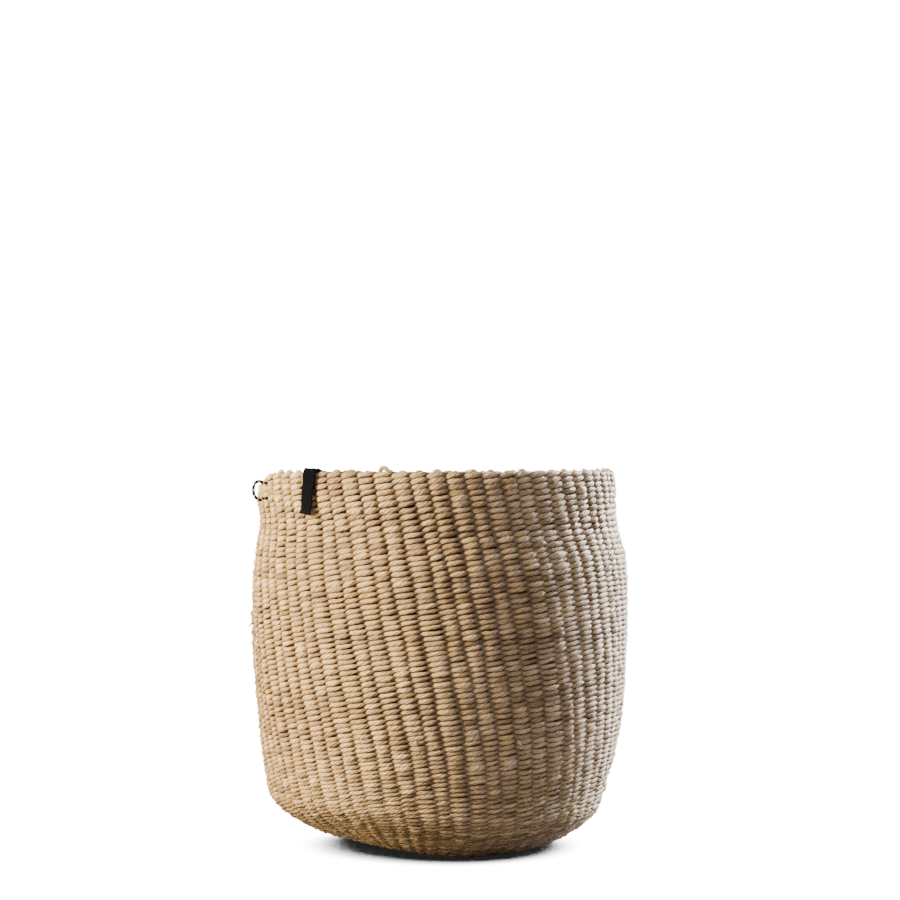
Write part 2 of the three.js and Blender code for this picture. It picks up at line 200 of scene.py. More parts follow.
def smoothPath(points, spacing, keep=None, fewest=6):
    # cubic Hermite curve through the points, each tangent from its neighbours, at even steps of the chord
    # length. The first three columns are the place, and any others go along with it.
    points = np.asarray(points, float)
    gaps = np.linalg.norm(np.diff(points[:, :3], axis=0), axis=1)
    at = np.concatenate([[0.0], np.cumsum(gaps)])
    slopes = np.gradient(points, at, axis=0)
    fine = np.linspace(0.0, at[-1], max(int(round(at[-1] / spacing)), fewest) + 1)
    if keep is not None:
        fine = fine[keep(fine, at[-1])]
    k = np.clip(np.searchsorted(at, fine, side="right") - 1, 0, len(gaps) - 1)
    width = gaps[k][:, None]
    t = ((fine - at[k]) / gaps[k])[:, None]
    first = (1 + 2 * t) * (1 - t) ** 2 * points[k] + t * (1 - t) ** 2 * width * slopes[k]
    second = t * t * (3 - 2 * t) * points[k + 1] + t * t * (t - 1) * width * slopes[k + 1]
    return first + second


def sweep(centres, outs, profileOut, profileAcross, around=None):
    # a closed section carried along a path: centre + out * u + (tangent x out) * v, with both ends capped.
    # One direction out may do for the whole path. The UV map holds the way round the section and the length
    # along the path in centimetres.
    count, sides = profileOut.shape
    tangent = unit(np.gradient(centres, axis=0))
    across = unit(np.cross(tangent, outs))
    out = np.cross(across, tangent)
    rings = centres[:, None] + out[:, None] * profileOut[..., None]
    rings = rings + across[:, None] * profileAcross[..., None]
    length = lengthsAlong(centres) * centimetresInMetre
    i, j = np.meshgrid(np.arange(count - 1), np.arange(sides), indexing="ij")
    after = (j + 1) % sides
    corners = [i * sides + j, i * sides + after, (i + 1) * sides + after, (i + 1) * sides + j]
    turn = np.linspace(0.0, 1.0, sides + 1) if around is None else np.append(around, around[0])
    u = np.stack([turn[j], turn[j + 1], turn[j + 1], turn[j]], axis=-1)
    v = np.stack([length[i], length[i], length[i + 1], length[i + 1]], axis=-1)
    ends = np.stack([np.arange(sides)[::-1], (count - 1) * sides + np.arange(sides)])
    endTurn = np.stack([turn[:-1][::-1], turn[:-1]])
    endLength = np.repeat([[length[0]], [length[-1]]], sides, axis=1)
    return {
        "points": rings.reshape(-1, 3),
        "quads": np.stack(corners, axis=-1).reshape(-1, 4),
        "quadUv": np.stack([u, v], axis=-1).reshape(-1, 2),
        "ends": ends,
        "endUv": np.stack([endTurn, endLength], axis=-1).reshape(-1, 2),
    }


def anglesRound(sides):
    # the angles of a section's corners, an even share of the turn apart
    return 2 * np.pi * np.arange(sides) / sides


def tube(centres, outs, halfOut, halfAcross, sides, lobe=0.0, twist=0.015, creased=0.0):
    # round section whose radius swells and shrinks twice on the way round, 1 + lobe * cos(2 * angle - turn),
    # turning once every twist of length, and may be shaken at each point
    length = lengthsAlong(centres)[:, None]
    angle = anglesRound(sides)[None]
    swell = 1 + lobe * np.cos(2 * angle - 2 * np.pi * length / twist) + creased
    halfOut, halfAcross = (np.broadcast_to(half, (len(centres),))[:, None] for half in (halfOut, halfAcross))
    return sweep(centres, outs, halfOut * np.cos(angle) * swell, halfAcross * np.sin(angle) * swell)


def buildPiece(name, shapes, material, body, replaced=(), marks=None):
    # joins swept shapes in one mesh: their points one after another, each one's faces counted on from its
    # first point
    offsets = np.cumsum([0] + [len(shape["points"]) for shape in shapes])
    points = np.concatenate([shape["points"] for shape in shapes])
    quads = np.concatenate([shape["quads"] + start for shape, start in zip(shapes, offsets)])
    ends = [shape["ends"] + start for shape, start in zip(shapes, offsets)]
    corners = np.concatenate([quads.reshape(-1)] + [end.reshape(-1) for end in ends])
    sizes = np.concatenate([np.full(len(quads), 4)] + [np.full(len(end), end.shape[1]) for end in ends])
    uv = np.concatenate([shape["quadUv"] for shape in shapes] + [shape["endUv"] for shape in shapes])
    mesh = bpy.data.meshes.new(name)
    mesh.vertices.add(len(points))
    mesh.vertices.foreach_set("co", points.astype(np.float32).reshape(-1))
    mesh.loops.add(len(corners))
    mesh.loops.foreach_set("vertex_index", corners.astype(np.int32))
    mesh.polygons.add(len(sizes))
    starts = np.concatenate([[0], np.cumsum(sizes)[:-1]])
    mesh.polygons.foreach_set("loop_start", starts.astype(np.int32))
    mesh.polygons.foreach_set("use_smooth", sizes == 4)
    layer = mesh.uv_layers.new(name="cordMap")
    layer.data.foreach_set("uv", uv.astype(np.float32).reshape(-1))
    for mark, values in (marks or {}).items():
        attribute = mesh.attributes.new(mark, "FLOAT", "POINT")
        attribute.data.foreach_set("value", np.asarray(values, np.float32))
    mesh.update(calc_edges=True)
    mesh.validate()
    mesh.materials.append(material)
    piece = bpy.data.objects.new(name, mesh)
    bpy.context.collection.objects.link(piece)
    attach(piece, body)
    if replaced:
        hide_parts(*replaced)
    return piece


# Node helpers


def addNode(tree, kind, settings=None, inputs=None):
    # an input is a value, or a socket that is linked to it
    node = tree.nodes.new(kind)
    for name, value in (settings or {}).items():
        setattr(node, name, value)
    for socket, value in (inputs or {}).items():
        if isinstance(value, bpy.types.NodeSocket):
            tree.links.new(value, node.inputs[socket])
        else:
            node.inputs[socket].default_value = value
    return node


def work(tree, operation, *values):
    # one Math node; the values are sockets or numbers
    node = addNode(tree, "ShaderNodeMath", {"operation": operation}, dict(enumerate(values)))
    return node.outputs[0]


def sineOf(tree, value, factor):
    # sin(factor * value)
    return work(tree, "SINE", work(tree, "MULTIPLY", value, factor))


def blendColours(tree, share, first, second, mode="MIX"):
    # the first colour where the share is 0, and the second laid over it where it is 1
    node = addNode(tree, "ShaderNodeMix", {"data_type": "RGBA", "blend_type": mode},
                   {0: share, 6: first, 7: second})
    return node.outputs[2]


def blendRange(tree, value, low, high, start=0.0, end=1.0, kind="LINEAR"):
    # from start, where the value is low, to end, where it is high
    node = addNode(tree, "ShaderNodeMapRange", {"interpolation_type": kind},
                   {"Value": value, "From Min": low, "From Max": high, "To Min": start, "To Max": end})
    return node.outputs[0]


def noiseAt(tree, place, scale, detail, roughness=0.5):
    node = addNode(tree, "ShaderNodeTexNoise", None,
                   {"Vector": place, "Scale": scale, "Detail": detail, "Roughness": roughness})
    return node.outputs[0]


def ownPlace(tree):
    return addNode(tree, "ShaderNodeTexCoord").outputs["Object"]


def readCordMap(tree):
    # the whole UV map, its way round the section and its length in centimetres
    cordMap = addNode(tree, "ShaderNodeUVMap", {"uv_map": "cordMap"}).outputs[0]
    parts = addNode(tree, "ShaderNodeSeparateXYZ", None, {0: cordMap}).outputs
    return cordMap, parts[0], parts[1]


def newGroup(name, inputs, outputs):
    # an input that has no value is a vector, and all the others are numbers
    group = bpy.data.node_groups.new(name, "ShaderNodeTree")
    for label, value in inputs.items():
        kind = "NodeSocketVector" if value is None else "NodeSocketFloat"
        socket = group.interface.new_socket(label, in_out="INPUT", socket_type=kind)
        if value is not None:
            socket.default_value = value
    for label in outputs:
        group.interface.new_socket(label, in_out="OUTPUT", socket_type="NodeSocketFloat")
    return group, group.nodes.new("NodeGroupInput").outputs, group.nodes.new("NodeGroupOutput").inputs


def useGroup(tree, group, inputs):
    return addNode(tree, "ShaderNodeGroup", {"node_tree": group}, inputs).outputs


twistForm = {
    "shakeScale": 160.0, "shakeDetail": 2.0, "shakeRoughness": 0.6, "creasePower": 0.55,
    "fibresAcross": 3.0, "fibresAlong": 0.6, "fibreDetail": 3.0, "fibreRoughness": 0.7, "fibreHeight": 0.45,
}


def twistGroup(settings):
    # creases of a twisted cord: |sin(pi * strands * (turn - length / pitch))| to a power, shaken by noise,
    # and fine fibres that run with them
    group, given, made = newGroup(
        "twistedCord", {"Map": None, "Strands": 3.0, "Pitch": 1.6, "Shake": 0.5, "Fibre Scale": 9.0},
        ("Crease", "Fibre", "Height"))
    parts = addNode(group, "ShaderNodeSeparateXYZ", None, {0: given["Map"]}).outputs
    noise = noiseAt(group, ownPlace(group), settings["shakeScale"], settings["shakeDetail"],
                    settings["shakeRoughness"])
    shake = work(group, "MULTIPLY", work(group, "SUBTRACT", noise, 0.5), given["Shake"])
    turn = work(group, "SUBTRACT", parts[0], work(group, "DIVIDE", parts[1], given["Pitch"]))
    phase = work(group, "ADD", work(group, "MULTIPLY", turn, given["Strands"]), shake)
    wave = work(group, "ABSOLUTE", sineOf(group, phase, np.pi))
    crease = work(group, "POWER", wave, settings["creasePower"])
    lines = addNode(group, "ShaderNodeCombineXYZ", None,
                    {0: work(group, "MULTIPLY", phase, settings["fibresAcross"]),
                     1: work(group, "MULTIPLY", parts[1], settings["fibresAlong"])})
    fibre = noiseAt(group, lines.outputs[0], given["Fibre Scale"], settings["fibreDetail"],
                    settings["fibreRoughness"])
    height = work(group, "ADD", crease, work(group, "MULTIPLY", fibre, settings["fibreHeight"]))
    for label, value in (("Crease", crease), ("Fibre", fibre), ("Height", height)):
        group.links.new(value, made[label])
    return group


toneForm = {"slowDetail": 3.0, "fineDetail": 4.0, "fineRoughness": 0.65, "speckles": (0.30, 0.42, 1.0, 0.0)}


def patinaGroup(settings):
    # uneven tone: 0.5 + (slow noise, fine noise and a given mark, each less 0.5 and times its share).
    # Speckles are where the fine noise is low.
    group, given, made = newGroup(
        "unevenTone",
        {"Mark": 0.5, "Slow Scale": 14.0, "Fine Scale": 230.0, "Slow Share": 0.5, "Fine Share": 0.3,
         "Mark Share": 0.5}, ("Tone", "Speckle"))
    place = ownPlace(group)
    slow = noiseAt(group, place, given["Slow Scale"], settings["slowDetail"])
    fine = noiseAt(group, place, given["Fine Scale"], settings["fineDetail"], settings["fineRoughness"])
    tone = 0.5
    for value, share in ((slow, "Slow Share"), (fine, "Fine Share"), (given["Mark"], "Mark Share")):
        part = work(group, "MULTIPLY", work(group, "SUBTRACT", value, 0.5), given[share])
        tone = work(group, "ADD", tone, part)
    speckle = blendRange(group, fine, *settings["speckles"])
    group.links.new(tone, made["Tone"])
    group.links.new(speckle, made["Speckle"])
    return group


cordTwist = twistGroup(twistForm)
unevenTone = patinaGroup(toneForm)


def startMaterial(name):
    material = bpy.data.materials.new(name)
    material.use_nodes = True
    tree = material.node_tree
    return material, tree, tree.nodes["Principled BSDF"]


def finishSurface(tree, shader, colour, height, look):
    # colour and bump, with an even roughness where the look gives one
    tree.links.new(colour, shader.inputs["Base Color"])
    shader.inputs["Specular IOR Level"].default_value = look["specular"]
    if "roughness" in look:
        shader.inputs["Roughness"].default_value = look["roughness"]
    bump = addNode(tree, "ShaderNodeBump", None,
                   {"Strength": 1.0, "Distance": look["bump"], "Height": height})
    tree.links.new(bump.outputs[0], shader.inputs["Normal"])


# A range has where it begins and ends, and then what it gives at the one and at the other, if not 0 and 1
kraft = {
    "twist": {"Strands": 5.0, "Pitch": -2.1, "Shake": 1.4}, "bump": 0.0007, "specular": 0.5,
    "uneven": {"Slow Scale": 11.0, "Fine Scale": 260.0, "Slow Share": 0.7, "Fine Share": 0.7,
               "Mark Share": 0.9},
    "dark": (0.25, 0.145, 0.075, 1), "middle": (0.52, 0.335, 0.195, 1), "light": (0.77, 0.535, 0.335, 1),
    "darkAt": 0.15, "middleAt": 0.48, "lightAt": 0.85,
    "tint": (0.97, 0.97, 0.78, 1), "tintScale": 95.0, "tintDetail": 1.0, "tintRange": (0.38, 0.62),
    # crease: painted shade in the creases of the twist, and also the colour of the fibre streaks
    "crease": (0.17, 0.09, 0.04, 1), "creaseShadeShare": 0.6, "streakRange": (0.36, 0.52, 0.35, 0.0),
    "speck": (0.20, 0.115, 0.055, 1), "speckShare": 0.5,
    # painted shade where a strand goes in, on its half that faces the stakes and along the sides where rows
    # meet
    "gapShadeColour": (0.050, 0.023, 0.008, 1), "gapShadeShare": 0.92, "grooveShadeRange": (0.66, 0.97, 0.0, 0.78),
    "roughRange": (0.3, 0.7, 0.32, 0.53),
}


def kraftCordMaterial(name, look):
    # twisted kraft paper: three tones by the uneven mask, with painted shade in creases, where cords lie in
    # gaps and along the sides where rows meet, which are where |sin(2 pi * turn)| is near one
    material, tree, shader = startMaterial(name)
    cordMap, turn = readCordMap(tree)[:2]
    twist = useGroup(tree, cordTwist, {"Map": cordMap, **look["twist"]})
    mark, gap = (addNode(tree, "ShaderNodeAttribute", {"attribute_name": each}).outputs["Fac"]
                 for each in ("tone", "gap"))
    tone = useGroup(tree, unevenTone, {"Mark": mark, **look["uneven"]})
    ramp = addNode(tree, "ShaderNodeValToRGB", None, {0: tone["Tone"]})
    stops = ramp.color_ramp.elements
    stops.new(look["middleAt"])
    for stop, shade in zip(stops, ("dark", "middle", "light")):
        stop.position, stop.color = look[f"{shade}At"], look[shade]
    patches = noiseAt(tree, ownPlace(tree), look["tintScale"], look["tintDetail"])
    tinting = blendRange(tree, patches, *look["tintRange"])
    colour = blendColours(tree, tinting, ramp.outputs[0], look["tint"], "MULTIPLY")
    # painted shade in the creases of the twist
    creaseShading = work(tree, "MULTIPLY", work(tree, "SUBTRACT", 1.0, twist["Crease"]), look["creaseShadeShare"])
    colour = blendColours(tree, creaseShading, colour, look["crease"])
    streaking = blendRange(tree, twist["Fibre"], *look["streakRange"])
    colour = blendColours(tree, streaking, colour, look["crease"])
    specking = work(tree, "MULTIPLY", tone["Speckle"], look["speckShare"])
    colour = blendColours(tree, specking, colour, look["speck"])
    # painted shade along the sides where rows meet and, by the gap mark, where the strand goes in
    side = work(tree, "ABSOLUTE", sineOf(tree, turn, 2 * np.pi))
    grooveShade = blendRange(tree, side, *look["grooveShadeRange"], kind="SMOOTHSTEP")
    paintedShade = work(tree, "MAXIMUM", grooveShade, work(tree, "MULTIPLY", gap, look["gapShadeShare"]))
    colour = blendColours(tree, paintedShade, colour, look["gapShadeColour"])
    rough = blendRange(tree, twist["Fibre"], *look["roughRange"])
    tree.links.new(rough, shader.inputs["Roughness"])
    finishSurface(tree, shader, colour, twist["Height"], look)
    return material


kraftCord = kraftCordMaterial("kraftCord", kraft)
# stake cord: a paler light tone, and no painted shade along the sides of rows
plainCord = {**kraft, "light": (0.60, 0.42, 0.28, 1), "grooveShadeRange": (0.66, 0.97, 0.0, 0.0)}
stakeCord = kraftCordMaterial("stakeCord", plainCord)


# Twine loop: two plies, black and white. The gap counts columns from the first, the holes are ways down from
# the rim, and the route's pairs go out from the hinge and up from the middle of the two holes.
twine = {
    "diameter": 0.0018, "length": 0.030, "pitch": 0.0042, "sides": 12, "plyLow": 1.28, "plyRise": 0.30,
    "gap": 35.5, "holes": (0.007, 0.020), "standOff": 0.0015, "swing": np.radians(15),
    "route": ((0.0021, 0.0070), (0.0049, 0.0074), (0.0077, 0.0059), (0.0092, 0.0022), (0.0088, -0.0022),
              (0.0065, -0.0056), (0.0033, -0.0070)),
    "loopSpacing": 0.0004, "runSpacing": 0.0005, "runStart": 0.0011, "runPastWall": 0.0006, "bendShare": 0.75,
    "knotInset": 0.0042, "knotEntry": 0.0019, "knotPoints": 90, "knotDepth": 0.004,
    "knotSideways": 0.00062, "knotUp": 0.00078, "knotInwards": 0.00085,
    "tailSteps": np.linspace(0.0, 3.0, 5), "tailStart": 0.0008, "tailSpread": 0.0015, "tailOut": 0.0003,
    "tailFall": 0.0042, "tailNarrows": 0.55, "tailNarrowsFrom": 0.75,
}
twineLook = {
    "twist": {"Strands": 9.0, "Pitch": 0.252, "Shake": 0.4, "Fibre Scale": 20.0},
    "uneven": {"Fine Scale": 900.0, "Slow Share": 0.1, "Fine Share": 0.9, "Mark Share": 0.0},
    "whiteRange": (0.70, 0.90),
    "white": ((0.46, 0.44, 0.42, 1), (0.86, 0.85, 0.83, 1)),
    "black": ((0.003, 0.003, 0.004, 1), (0.018, 0.018, 0.021, 1)),
    "roughness": 0.85, "specular": 0.25, "bump": 0.00012,
}


def twineMaterial(settings, look):
    # white where sin(2 pi * (turn - length / pitch)) is high, black elsewhere, with hairs
    material, tree, shader = startMaterial("twoToneTwine")
    cordMap, turn, length = readCordMap(tree)
    turns = work(tree, "DIVIDE", length, settings["pitch"] * centimetresInMetre)
    wave = sineOf(tree, work(tree, "SUBTRACT", turn, turns), 2 * np.pi)
    side = blendRange(tree, wave, *look["whiteRange"])
    tone = useGroup(tree, unevenTone, look["uneven"])["Tone"]
    black, white = (blendColours(tree, tone, *look[shade]) for shade in ("black", "white"))
    twist = useGroup(tree, cordTwist, {"Map": cordMap, **look["twist"]})
    finishSurface(tree, shader, blendColours(tree, side, black, white), twist["Height"], look)
    return material


def twineTube(centres, outs, settings, taper=1.0):
    # two round plies side by side: the radius is half the diameter * (low + rise * |sin(angle - turn)|),
    # widest on the plies and drawn in between them
    length = lengthsAlong(centres)[:, None]
    angle = anglesRound(settings["sides"])[None]
    ply = np.abs(np.sin(angle - 2 * np.pi * length / settings["pitch"]))
    radius = settings["diameter"] / 2 * (settings["plyLow"] + settings["plyRise"] * ply)
    radius = radius * np.reshape(taper, (-1, 1))
    return sweep(centres, outs, radius * np.cos(angle), radius * np.sin(angle))


def twineKnot(settings, knotAt, sideways, radial):
    # a trefoil, (sin t + 2 sin 2t) sideways, (cos t - 2 cos 2t) upwards and sin 3t inwards, with two tails
    # that fall
    t = np.linspace(0.0, 2 * np.pi, settings["knotPoints"])[:, None]
    knot = knotAt + settings["knotSideways"] * (np.sin(t) + 2 * np.sin(2 * t)) * sideways
    knot = knot + settings["knotUp"] * (np.cos(t) - 2 * np.cos(2 * t)) * upright
    knot = knot - settings["knotInwards"] * np.sin(3 * t) * radial
    shapes = [twineTube(knot, knot - knotAt + radial * settings["knotDepth"], settings)]
    for way in (-1, 1):
        step = settings["tailSteps"][:, None]
        tail = knotAt + sideways * way * (settings["tailStart"] + settings["tailSpread"] * step)
        tail = tail + radial * settings["tailOut"] * step - settings["tailFall"] * upright * step
        tail = smoothPath(tail, settings["runSpacing"])
        narrow = smoothStep(np.linspace(0, 1, len(tail)), settings["tailNarrowsFrom"], 1.0)
        shapes.append(twineTube(tail, radial, settings, 1 - settings["tailNarrows"] * narrow))
    return shapes


def makeTwine(settings, material):
    # the loop goes from hole to hole outside, a run from each hole through the wall, and the knot joins the
    # runs inside
    angle = form["columnStart"] + settings["gap"] * columnAngle + leanAt(rimAt - sum(settings["holes"]) / 2)
    radial = np.array([np.cos(angle), np.sin(angle), 0.0])
    sideways = np.array([-radial[1], radial[0], 0.0])
    half = form["wallThickness"] / 2
    upper, lower = (standAt(rimAt - below, angle, half)[2] for below in settings["holes"])
    axis = standAt(rimAt - settings["holes"][1], angle, 0.0) + radial * settings["standOff"]
    middle = np.array([axis[0], axis[1], (upper + lower) / 2])
    outwards = np.array([np.cos(angle + settings["swing"]), np.sin(angle + settings["swing"]), 0.0])
    route = np.array(settings["route"])
    bulge = middle + outwards * route[:, :1] + upright * route[:, 1:]
    points = [(axis[0], axis[1], upper), *bulge, (axis[0], axis[1], lower)]
    loopPath = smoothPath(points, settings["loopSpacing"])
    loop = buildPiece("twineLoop", [twineTube(loopPath, np.cross(outwards, upright), settings)], material,
                      "twine", ["twine_loop"])

    inside = settings["standOff"] + form["wallThickness"] + settings["runPastWall"]
    knotAt = middle - radial * (inside + settings["knotInset"])
    bend = settings["bendShare"]
    back = np.array([settings["runStart"], 0.5 * inside, inside, inside + bend * settings["knotInset"],
                     inside + settings["knotInset"]])
    for name, node, height, up in (("twineUpperRun", "twine_upper_run", upper, 1),
                                   ("twineLowerRun", "twine_lower_run", lower, -1)):
        toKnot = knotAt[2] + up * settings["knotEntry"]
        levels = np.array([height, height, height, bend * height + (1 - bend) * toKnot, toKnot])
        points = np.stack([axis[0] - radial[0] * back, axis[1] - radial[1] * back, levels], axis=1)
        shape = twineTube(smoothPath(points, settings["runSpacing"]), sideways, settings)
        buildPiece(name, [shape], material, "basket", [node])
    shapes = twineKnot(settings, knotAt, sideways, radial)
    buildPiece("twineKnot", shapes, material, "basket", ["twine_knot"])
    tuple(loopPath[0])
    print("twine laid, metres:", round(float(lengthsAlong(loopPath)[-1]), 4))


makeTwine(twine, twineMaterial(twine, twineLook))


# Stages of the base: the radius where each set of stakes is added, and the legs from there on
stages = {"radius": (0.0, 0.020, 0.040, 0.068), "legs": (8, 16, 32, 64)}
lastStage = len(stages["legs"]) - 1


def legAngle(stage, index):
    # the legs of a stage stand in the middle of equal shares of the 64 columns
    share = 2 ** (lastStage - stage)
    return ((share - 1) / 2 + share * index) * columnAngle


# Weft: two strands that wind round the stakes from the middle of the base to the rim, crossing between
# stakes. Thick is half a strand's section through the wall, and tall its half up the wall as a share of the
# row pitch. Each cut end has its angle in degrees and its arc length.
weft = {
    "firstRow": 0.0095, "lastRow": 0.4114, "lastSinks": 0.0015, "windingPoints": 40000, "easedOver": 4.5,
    "pitchPlaces": (0.000, 0.100, 0.150, 0.184, 0.236, 0.289, 0.341, 0.390, 0.413),
    "pitches": (0.0041, 0.0040, 0.0038, 0.0038, 0.0041, 0.0038, 0.0042, 0.0045, 0.0044),
    "pointsPerStitch": 8, "sides": 8, "lobe": 0.05, "twist": -0.021, "creased": 0.055, "seed": 11,
    "wallFrom": 0.140, "wallTo": 0.200, "wallShare": 0.6,
    "swing": 0.0035, "heelSwing": 0.0020, "skew": 0.45, "plateau": 1.3, "bandPlateau": 1.9,
    "bandBlend": 0.004, "riseGoingIn": 0.0010, "dropComingOut": 0.0004, "tilt": 0.0007, "endPower": 1.3,
    "thick": 0.0019, "thickGoingIn": 0.0023, "thickComingOut": 0.0038, "bandThinner": 0.0006,
    "heelFuller": 0.0009,
    "tall": 0.56, "tallGoingIn": 0.26, "tallComingOut": 0.47,
    "plump": 0.12, "fatShare": 0.035, "fatGain": 0.45, "plumpLimits": (-0.22, 0.5), "plumpThickens": 0.5,
    "stand": 0.0004, "standLimits": (-0.0007, 0.0009),
    "swell": 0.00055, "swellWaves": ((17, 40, 0), (7, -55, 1)),
    "shift": 0.0003, "rowWave": (0.0003, 5, 90),
    "underLabel": (np.radians(227), 0.374), "labelPresses": (np.radians(3.5), np.radians(6.5)),
    "labelBlend": 0.006,
    "slowTone": 0.13, "slowEvery": 9, "slowReach": 31, "slowSpare": 40, "stitchTone": 0.2,
    "gapShadeSteepness": 2.4, "wallGapShadeSteeper": 0.9, "crestLighter": 0.15, "seamCrestLighter": 0.35,
    "hiddenSteepness": 1.5, "hiddenFrom": 0.2, "seamSoftness": 1.15,
    "cutEnds": ((294.5, 0.209), (338.0, 0.172), (262.6, 0.209), (190.0, 0.291), (95.0, 0.310), (140.0, 0.225),
                (48.0, 0.180), (15.0, 0.262)),
}
# Where each band of the strands begins and ends, and the zones of the solids that it stands for
bandEdges = {
    "base": (0.0, 0.094, ["base"]),
    "heel": (0.094, 0.150, ["lower_heel", "upper_heel"]),
    "lowWall": (0.150, 0.209, ["lower_wall"]),
    "bellyWall": (0.209, 0.268, ["lower_wall"]),
    "highWall": (0.268, 0.327, ["upper_wall"]),
    "neckWall": (0.327, form["rimBand"], ["upper_wall"]),
    "rim": (form["rimBand"], 1.0, ["rim"]),
}


def windings(settings):
    # turns made by an arc length are the integral of one over the row pitch; the angle is two pi times that.
    # The strand's phase grows by pi at every stake, and is eased over where stakes are added. The last half
    # turn sinks, so that the rim ends level.
    along = np.linspace(settings["firstRow"], settings["lastRow"], settings["windingPoints"])
    pitch = np.interp(along, settings["pitchPlaces"], settings["pitches"])
    turns = np.concatenate([[0.0], np.cumsum(np.diff(along) / (0.5 * (pitch[1:] + pitch[:-1])))])
    angle = 2 * np.pi * turns
    angle += np.pi / 2 - angle[-1] % (2 * np.pi)
    phase = None
    for stage, legs in enumerate(stages["legs"]):
        own = legs / 2 * (angle - (legAngle(stage, 0) + form["columnStart"]) - leanAt(along))
        here = along >= stages["radius"][stage]
        start = int(np.argmax(here))
        if phase is None:
            phase = own - own[start] + own[start] % np.pi
        else:
            jump = phase[start] - own[start]
            whole = np.pi * np.round(jump / np.pi)
            left = (jump - whole) * (1 - smoothStep(angle - angle[start], 0.0, settings["easedOver"]))
            phase = np.where(here, own + whole + left, phase)
    along = along - settings["lastSinks"] * smoothStep(angle - angle[-1], -np.pi, 0.0)
    return along, angle, phase


def stitchNoise(rng, phase, spread, rareShare=0.0, rareGain=0.0):
    # one random value for each stitch, times the square of the phase's cosine: full at its middle and faded
    # out where the strands cross
    number = np.round(phase / np.pi).astype(int)
    count = number.max() + 2
    values = rng.normal(0.0, spread, count) + rareGain * (rng.random(count) < rareShare)
    return values[number] * np.cos(phase) ** 2


def strandShape(settings, table, which):
    # Phase 0 is the middle of a stitch outside; the strand comes out at -pi/2 and goes in at pi/2.
    # depth = middle - swing * s, where s is the flattened cosine of (phase + skew * cos(phase)): steep on its
    # way out and gentle on its way in. Arc length = row + tilt * sin(phase), and a little more where it goes
    # in, less where it comes out. The stitches are even where the label presses on them.
    along, angle, phase = table
    samples = np.arange(phase[0], phase[-1], np.pi / settings["pointsPerStitch"])
    turned = np.interp(samples, phase, angle)
    row = np.interp(samples, phase, along)
    pitch = np.interp(row, settings["pitchPlaces"], settings["pitches"])
    own = samples + np.pi * which
    rng = np.random.default_rng(settings["seed"] + which)
    comingOut = (1 - np.sin(own)) / 2
    band = smoothStep(row, form["rimBand"] - settings["bandBlend"], form["rimBand"] + settings["bandBlend"])
    wall = settings["wallShare"] * smoothStep(row, settings["wallFrom"], settings["wallTo"])
    flat = mix(settings["plateau"], settings["bandPlateau"], band)
    s = np.tanh(flat * np.cos(own + settings["skew"] * np.cos(own))) / np.tanh(flat)
    full = np.abs(s)
    ends = 1 - full ** settings["endPower"]
    labelAngle, labelFrom = settings["underLabel"]
    beside = smoothStep(np.arccos(np.cos(turned - labelAngle)), *settings["labelPresses"])
    free = 1 - (1 - beside) * smoothStep(row, labelFrom - settings["labelBlend"], labelFrom)

    # how stitches differ from one another
    plump = stitchNoise(rng, own, settings["plump"], settings["fatShare"], settings["fatGain"])
    plump = 1 + free * np.clip(plump, *settings["plumpLimits"])
    swell = sum(np.sin(count * turned + drift * row + start)
                for count, drift, start in settings["swellWaves"])
    stand = stitchNoise(rng, own, settings["stand"]) + settings["swell"] * swell / 2 * full
    size, count, drift = settings["rowWave"]
    shift = stitchNoise(rng, own, settings["shift"]) + size * np.sin(count * turned + drift * row)

    # where the strand runs, and its section
    depth = form["stakeDepth"] - mix(settings["heelSwing"], settings["swing"], wall) * s
    depth = depth - np.sign(s) * free * np.clip(stand, *settings["standLimits"])
    leaving = settings["riseGoingIn"] * (1 - comingOut) - settings["dropComingOut"] * comingOut
    centres = placeInWall(row + shift + ends * leaving + settings["tilt"] * np.sin(own), turned, depth)
    above, below = (placeInWall(row + step, turned, form["stakeDepth"])
                    for step in (2 * millimetre, -2 * millimetre))
    outs = unit(np.cross(unit(np.gradient(centres, axis=0)), unit(above - below)))
    lowTall = mix(settings["tallGoingIn"], settings["tallComingOut"], comingOut)
    tall = pitch * mix(settings["tall"], lowTall, ends) * plump
    lowThick = mix(settings["thickGoingIn"], settings["thickComingOut"], comingOut)
    lowThick = lowThick - settings["bandThinner"] * band
    lowThick = lowThick + settings["heelFuller"] * (1 - wall) * (1 - comingOut)
    thick = mix(lowThick, settings["thick"], full) * (1 + settings["plumpThickens"] * (plump - 1))

    # how light it is, and the painted shade where it goes in
    every = settings["slowEvery"]
    slow = rng.normal(0, 1, len(samples) // every + settings["slowSpare"])
    slow = np.convolve(slow, np.hanning(settings["slowReach"]), mode="same")
    slow = np.interp(np.arange(len(samples)) / every, np.arange(len(slow)), slow / slow.std())
    tone = 0.5 + settings["slowTone"] * slow + stitchNoise(rng, own, settings["stitchTone"])
    steep = settings["gapShadeSteepness"] + settings["wallGapShadeSteeper"] * wall
    gap = np.clip(steep * (1 - full), 0, 1) * (1 - comingOut)
    return {"row": row, "centres": centres, "outs": outs, "tall": tall, "thick": thick,
            "tone": np.clip(tone, 0, 1), "gap": gap, "side": s, "seam": 1 - wall}


cutTips = {
    "spreads": (-0.0016, 0.0001, 0.0015), "points": 6, "fall": (0.0018, 0.0040), "fallsFrom": 0.35,
    "depth": 0.0035, "reach": (0.0056, 0.0068), "curl": 1.35, "stray": 0.0006, "spacing": 0.0006,
    "thick": 0.00075, "tall": 0.00060, "narrows": 0.5, "sides": 6, "lobe": 0.12, "tone": 1.0,
}


